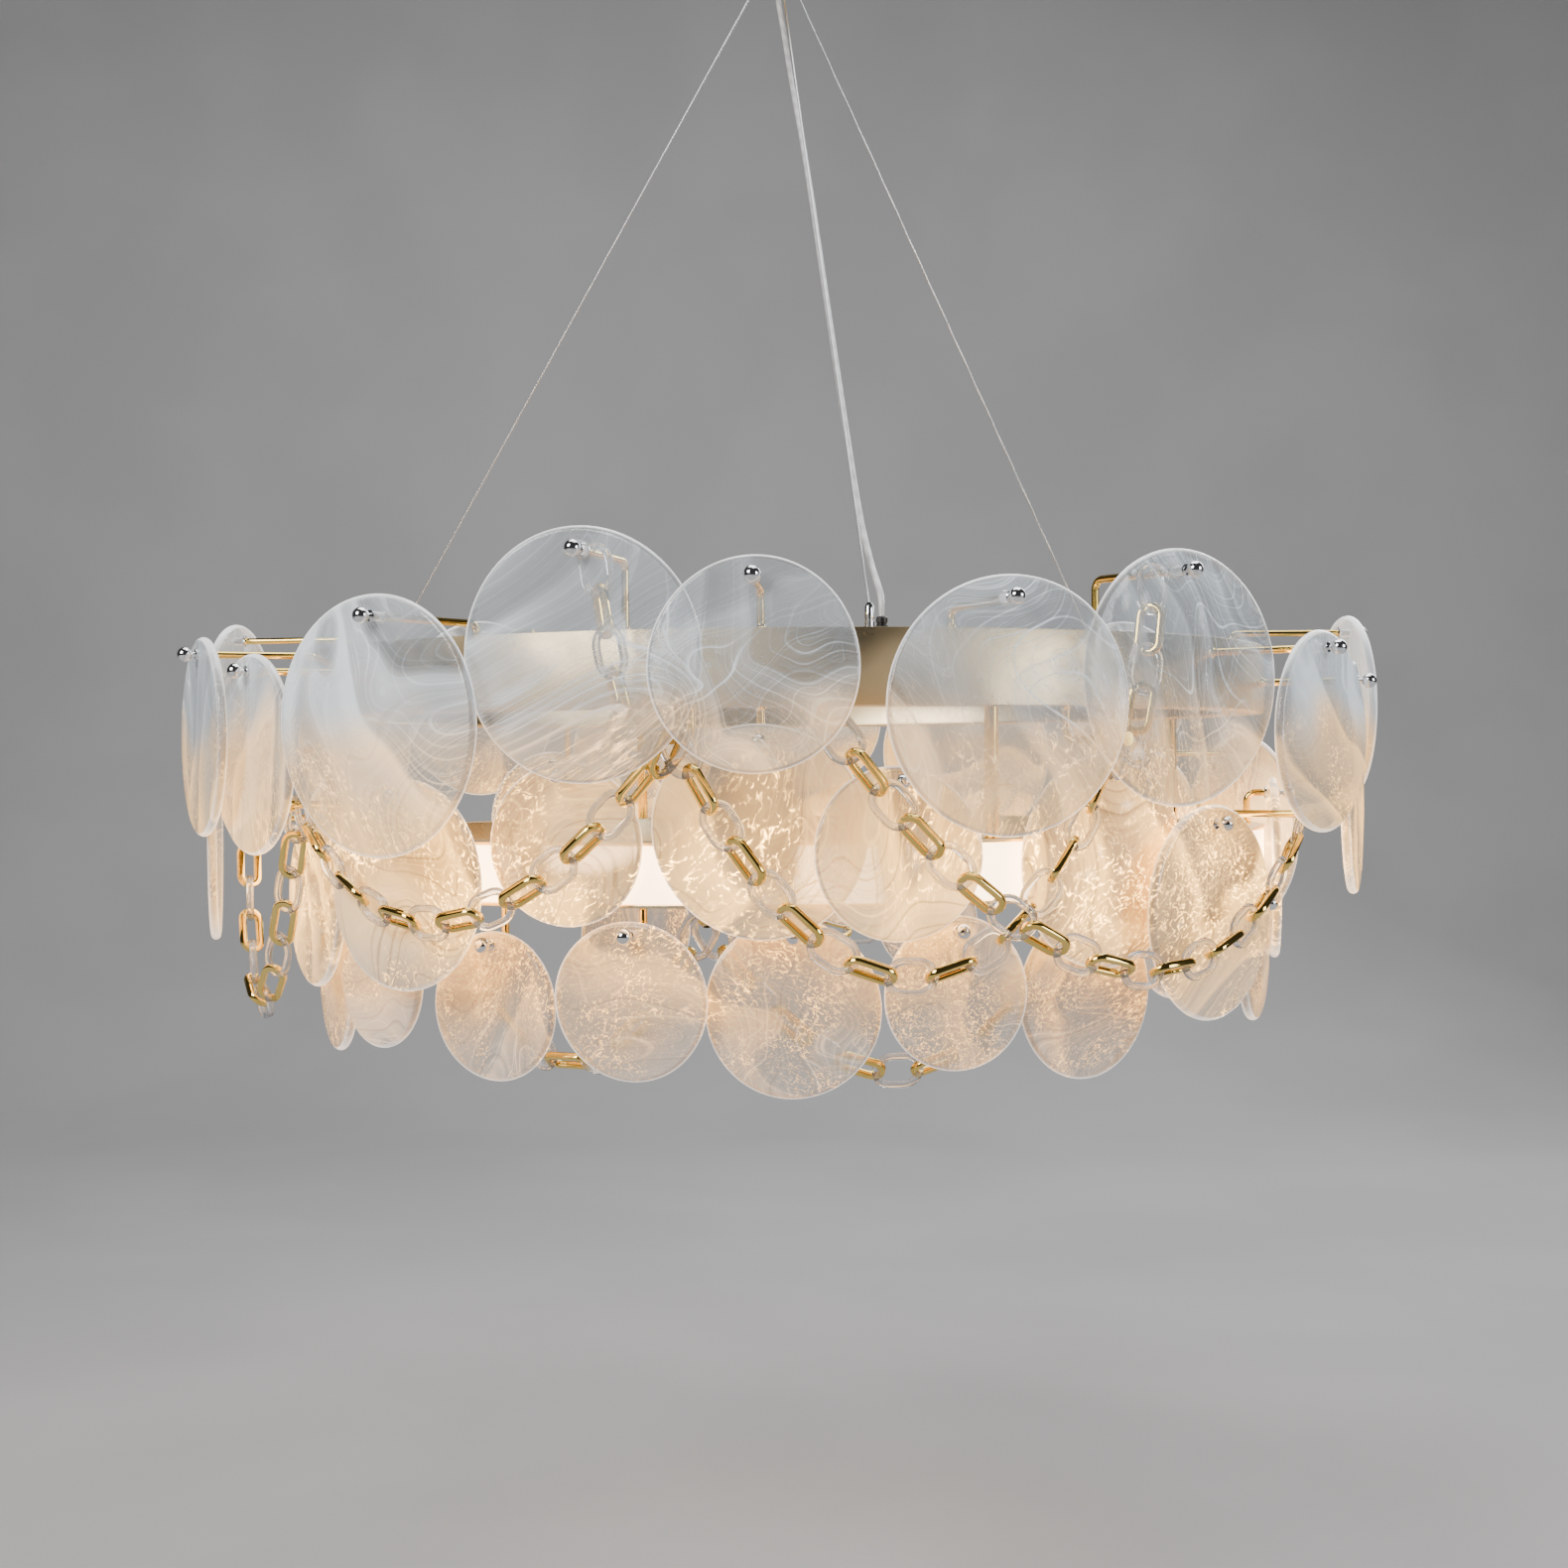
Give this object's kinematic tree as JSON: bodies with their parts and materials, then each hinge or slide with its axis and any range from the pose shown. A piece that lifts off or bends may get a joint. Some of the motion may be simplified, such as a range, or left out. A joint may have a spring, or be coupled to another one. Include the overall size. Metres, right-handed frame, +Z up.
{
  "type": "chandelier",
  "caption": "Ring chandelier of gilt hoops on thin steel wires, hung with overlapping cast glass discs on ball studs and swags of gilt and clear links.",
  "frame": {"origin": "centre of the mounting plate's top face, on the ceiling", "axes": "+Z up out of the mounting plate into the ceiling, -Y towards the viewer of the picture, +X to the right in it"},
  "size_m": [0.8099, 0.8142, 0.7573],
  "materials": {
    "gilt": "polished warm gilt plating",
    "steel": "bright steel",
    "glass": "cast clear glass clouded with white swirls and a fire-polished rim",
    "chain": "polished gilt links alternating with clear acrylic links",
    "diffuser": "lit warm white diffuser",
    "led_strip": "matt strip",
    "cord": "pale translucent jacket"
  },
  "bodies": {
    "fixture": {"upper_hoop": "gilt", "lower_hoop": "gilt", "diffuser": "diffuser", "led_strip": "led_strip", "mounting_plate": "steel", "ceiling_canopy": "gilt", "wire_front": "steel", "wire_right": "steel", "wire_left": "steel", "power_cord": "cord", "swag_chain_left": "chain", "swag_chain_right": "chain", "swag_chain_back": "chain"},
    "upper_disc_01": {"upper_disc_01": "glass"},
    "upper_disc_02": {"upper_disc_02": "glass"},
    "upper_disc_03": {"upper_disc_03": "glass"},
    "upper_disc_04": {"upper_disc_04": "glass"},
    "upper_disc_05": {"upper_disc_05": "glass"},
    "upper_disc_06": {"upper_disc_06": "glass"},
    "upper_disc_07": {"upper_disc_07": "glass"},
    "upper_disc_08": {"upper_disc_08": "glass"},
    "upper_disc_09": {"upper_disc_09": "glass"},
    "upper_disc_10": {"upper_disc_10": "glass"},
    "upper_disc_11": {"upper_disc_11": "glass"},
    "upper_disc_12": {"upper_disc_12": "glass"},
    "upper_disc_13": {"upper_disc_13": "glass"},
    "upper_disc_14": {"upper_disc_14": "glass"},
    "upper_disc_15": {"upper_disc_15": "glass"},
    "upper_disc_16": {"upper_disc_16": "glass"},
    "upper_disc_17": {"upper_disc_17": "glass"},
    "upper_disc_18": {"upper_disc_18": "glass"},
    "upper_disc_19": {"upper_disc_19": "glass"},
    "middle_disc_01": {"middle_disc_01": "glass"},
    "middle_disc_02": {"middle_disc_02": "glass"},
    "middle_disc_03": {"middle_disc_03": "glass"},
    "middle_disc_04": {"middle_disc_04": "glass"},
    "middle_disc_05": {"middle_disc_05": "glass"},
    "middle_disc_06": {"middle_disc_06": "glass"},
    "middle_disc_07": {"middle_disc_07": "glass"},
    "middle_disc_08": {"middle_disc_08": "glass"},
    "middle_disc_09": {"middle_disc_09": "glass"},
    "middle_disc_10": {"middle_disc_10": "glass"},
    "middle_disc_11": {"middle_disc_11": "glass"},
    "middle_disc_12": {"middle_disc_12": "glass"},
    "lower_disc_01": {"lower_disc_01": "glass"},
    "lower_disc_02": {"lower_disc_02": "glass"},
    "lower_disc_03": {"lower_disc_03": "glass"},
    "lower_disc_04": {"lower_disc_04": "glass"},
    "lower_disc_05": {"lower_disc_05": "glass"},
    "lower_disc_06": {"lower_disc_06": "glass"},
    "lower_disc_07": {"lower_disc_07": "glass"},
    "lower_disc_08": {"lower_disc_08": "glass"},
    "lower_disc_09": {"lower_disc_09": "glass"},
    "lower_disc_10": {"lower_disc_10": "glass"},
    "lower_disc_11": {"lower_disc_11": "glass"},
    "lower_disc_12": {"lower_disc_12": "glass"}
  },
  "joints": [
    {"name": "upper_disc_01_rock", "type": "hinge", "parent": "fixture", "child": "upper_disc_01", "pos_m": [-0.37002, -0.08203, -0.5612], "axis": [-0.9763, -0.2164, 0], "range_deg": [-4, 4]},
    {"name": "upper_disc_02_rock", "type": "hinge", "parent": "fixture", "child": "upper_disc_02", "pos_m": [-0.35527, -0.16567, -0.503], "axis": [-0.9063, -0.4226, 0], "range_deg": [-4, 4]},
    {"name": "upper_disc_03_rock", "type": "hinge", "parent": "fixture", "child": "upper_disc_03", "pos_m": [-0.31383, -0.21248, -0.5156], "axis": [-0.8281, -0.5606, 0], "range_deg": [-4, 4]},
    {"name": "upper_disc_04_rock", "type": "hinge", "parent": "fixture", "child": "upper_disc_04", "pos_m": [-0.22034, -0.32422, -0.4916], "axis": [-0.5621, -0.8271, 0], "range_deg": [-4, 4]},
    {"name": "upper_disc_05_rock", "type": "hinge", "parent": "fixture", "child": "upper_disc_05", "pos_m": [-0.10574, -0.36395, -0.4604], "axis": [-0.279, -0.9603, 0], "range_deg": [-4, 4]},
    {"name": "upper_disc_06_rock", "type": "hinge", "parent": "fixture", "child": "upper_disc_06", "pos_m": [-0.01505, -0.39171, -0.4772], "axis": [-0.0384, -0.9993, 0], "range_deg": [-4, 4]},
    {"name": "upper_disc_07_rock", "type": "hinge", "parent": "fixture", "child": "upper_disc_07", "pos_m": [0.11722, -0.37406, -0.488], "axis": [0.299, -0.9542, 0], "range_deg": [-4, 4]},
    {"name": "upper_disc_08_rock", "type": "hinge", "parent": "fixture", "child": "upper_disc_08", "pos_m": [0.21793, -0.31008, -0.4694], "axis": [0.575, -0.8181, 0], "range_deg": [-4, 4]},
    {"name": "upper_disc_09_rock", "type": "hinge", "parent": "fixture", "child": "upper_disc_09", "pos_m": [0.31224, -0.237, -0.5084], "axis": [0.7965, -0.6046, 0], "range_deg": [-4, 4]},
    {"name": "upper_disc_10_rock", "type": "hinge", "parent": "fixture", "child": "upper_disc_10", "pos_m": [0.36045, -0.11712, -0.5234], "axis": [0.9511, -0.309, 0], "range_deg": [-4, 4]},
    {"name": "upper_disc_11_rock", "type": "hinge", "parent": "fixture", "child": "upper_disc_11", "pos_m": [0.39146, 0.02052, -0.485], "axis": [0.9986, 0.0523, 0], "range_deg": [-4, 4]},
    {"name": "upper_disc_12_rock", "type": "hinge", "parent": "fixture", "child": "upper_disc_12", "pos_m": [0.34596, 0.15476, -0.5672], "axis": [0.9128, 0.4083, 0], "range_deg": [-4, 4]},
    {"name": "upper_disc_13_rock", "type": "hinge", "parent": "fixture", "child": "upper_disc_13", "pos_m": [0.27622, 0.27815, -0.47], "axis": [0.7046, 0.7096, 0], "range_deg": [-4, 4]},
    {"name": "upper_disc_14_rock", "type": "hinge", "parent": "fixture", "child": "upper_disc_14", "pos_m": [0.15294, 0.34677, -0.506], "axis": [0.4035, 0.915, 0], "range_deg": [-4, 4]},
    {"name": "upper_disc_15_rock", "type": "hinge", "parent": "fixture", "child": "upper_disc_15", "pos_m": [0.01847, 0.39156, -0.479], "axis": [0.0471, 0.9989, 0], "range_deg": [-4, 4]},
    {"name": "upper_disc_16_rock", "type": "hinge", "parent": "fixture", "child": "upper_disc_16", "pos_m": [-0.11963, 0.35962, -0.512], "axis": [-0.3156, 0.9489, 0], "range_deg": [-4, 4]},
    {"name": "upper_disc_17_rock", "type": "hinge", "parent": "fixture", "child": "upper_disc_17", "pos_m": [-0.24881, 0.30291, -0.4652], "axis": [-0.6347, 0.7727, 0], "range_deg": [-4, 4]},
    {"name": "upper_disc_18_rock", "type": "hinge", "parent": "fixture", "child": "upper_disc_18", "pos_m": [-0.32987, 0.18663, -0.5], "axis": [-0.8704, 0.4924, 0], "range_deg": [-4, 4]},
    {"name": "upper_disc_19_rock", "type": "hinge", "parent": "fixture", "child": "upper_disc_19", "pos_m": [-0.38769, 0.05794, -0.482], "axis": [-0.989, 0.1478, 0], "range_deg": [-4, 4]},
    {"name": "middle_disc_01_rock", "type": "hinge", "parent": "fixture", "child": "middle_disc_01", "pos_m": [-0.28907, -0.155, -0.6101], "axis": [-0.8813, -0.4726, 0], "range_deg": [-4, 4]},
    {"name": "middle_disc_02_rock", "type": "hinge", "parent": "fixture", "child": "middle_disc_02", "pos_m": [-0.21552, -0.26426, -0.5903], "axis": [-0.632, -0.7749, 0], "range_deg": [-4, 4]},
    {"name": "middle_disc_03_rock", "type": "hinge", "parent": "fixture", "child": "middle_disc_03", "pos_m": [-0.12021, -0.30518, -0.5789], "axis": [-0.3665, -0.9304, 0], "range_deg": [-4, 4]},
    {"name": "middle_disc_04_rock", "type": "hinge", "parent": "fixture", "child": "middle_disc_04", "pos_m": [-0.01316, -0.32774, -0.5615], "axis": [-0.0401, -0.9992, 0], "range_deg": [-4, 4]},
    {"name": "middle_disc_05_rock", "type": "hinge", "parent": "fixture", "child": "middle_disc_05", "pos_m": [0.06097, -0.3355, -0.5837], "axis": [0.1788, -0.9839, 0], "range_deg": [-4, 4]},
    {"name": "middle_disc_06_rock", "type": "hinge", "parent": "fixture", "child": "middle_disc_06", "pos_m": [0.1796, -0.27446, -0.5807], "axis": [0.5476, -0.8368, 0], "range_deg": [-4, 4]},
    {"name": "middle_disc_07_rock", "type": "hinge", "parent": "fixture", "child": "middle_disc_07", "pos_m": [0.24735, -0.23473, -0.6101], "axis": [0.7254, -0.6884, 0], "range_deg": [-4, 4]},
    {"name": "middle_disc_08_rock", "type": "hinge", "parent": "fixture", "child": "middle_disc_08", "pos_m": [0.32302, -0.05696, -0.5945], "axis": [0.9848, -0.1736, 0], "range_deg": [-4, 4]},
    {"name": "middle_disc_09_rock", "type": "hinge", "parent": "fixture", "child": "middle_disc_09", "pos_m": [0.27933, 0.19559, -0.5735], "axis": [0.8192, 0.5736, 0], "range_deg": [-4, 4]},
    {"name": "middle_disc_10_rock", "type": "hinge", "parent": "fixture", "child": "middle_disc_10", "pos_m": [0.05696, 0.32302, -0.5975], "axis": [0.1736, 0.9848, 0], "range_deg": [-4, 4]},
    {"name": "middle_disc_11_rock", "type": "hinge", "parent": "fixture", "child": "middle_disc_11", "pos_m": [-0.19068, 0.2827, -0.5705], "axis": [-0.5592, 0.829, 0], "range_deg": [-4, 4]},
    {"name": "middle_disc_12_rock", "type": "hinge", "parent": "fixture", "child": "middle_disc_12", "pos_m": [-0.32197, 0.06259, -0.5915], "axis": [-0.9816, 0.1908, 0], "range_deg": [-4, 4]},
    {"name": "lower_disc_01_rock", "type": "hinge", "parent": "fixture", "child": "lower_disc_01", "pos_m": [-0.28181, -0.12429, -0.668], "axis": [-0.915, -0.4035, 0], "range_deg": [-4, 4]},
    {"name": "lower_disc_02_rock", "type": "hinge", "parent": "fixture", "child": "lower_disc_02", "pos_m": [-0.23855, -0.21329, -0.663], "axis": [-0.7455, -0.6665, 0], "range_deg": [-4, 4]},
    {"name": "lower_disc_03_rock", "type": "hinge", "parent": "fixture", "child": "lower_disc_03", "pos_m": [-0.16594, -0.25948, -0.6745], "axis": [-0.5388, -0.8425, 0], "range_deg": [-4, 4]},
    {"name": "lower_disc_04_rock", "type": "hinge", "parent": "fixture", "child": "lower_disc_04", "pos_m": [-0.08498, -0.30851, -0.6665], "axis": [-0.2656, -0.9641, 0], "range_deg": [-4, 4]},
    {"name": "lower_disc_05_rock", "type": "hinge", "parent": "fixture", "child": "lower_disc_05", "pos_m": [0.00376, -0.30798, -0.6675], "axis": [0.0122, -0.9999, 0], "range_deg": [-4, 4]},
    {"name": "lower_disc_06_rock", "type": "hinge", "parent": "fixture", "child": "lower_disc_06", "pos_m": [0.09356, -0.30602, -0.6655], "axis": [0.2924, -0.9563, 0], "range_deg": [-4, 4]},
    {"name": "lower_disc_07_rock", "type": "hinge", "parent": "fixture", "child": "lower_disc_07", "pos_m": [0.17089, -0.25624, -0.667], "axis": [0.5548, -0.832, 0], "range_deg": [-4, 4]},
    {"name": "lower_disc_08_rock", "type": "hinge", "parent": "fixture", "child": "lower_disc_08", "pos_m": [0.29585, -0.12194, -0.6635], "axis": [0.9245, -0.3811, 0], "range_deg": [-4, 4]},
    {"name": "lower_disc_09_rock", "type": "hinge", "parent": "fixture", "child": "lower_disc_09", "pos_m": [0.28393, 0.11936, -0.6695], "axis": [0.9219, 0.3875, 0], "range_deg": [-4, 4]},
    {"name": "lower_disc_10_rock", "type": "hinge", "parent": "fixture", "child": "lower_disc_10", "pos_m": [0.11538, 0.28557, -0.6665], "axis": [0.3746, 0.9272, 0], "range_deg": [-4, 4]},
    {"name": "lower_disc_11_rock", "type": "hinge", "parent": "fixture", "child": "lower_disc_11", "pos_m": [-0.12133, 0.28309, -0.6705], "axis": [-0.3939, 0.9191, 0], "range_deg": [-4, 4]},
    {"name": "lower_disc_12_rock", "type": "hinge", "parent": "fixture", "child": "lower_disc_12", "pos_m": [-0.28657, 0.11288, -0.6645], "axis": [-0.9304, 0.3665, 0], "range_deg": [-4, 4]}
  ]
}
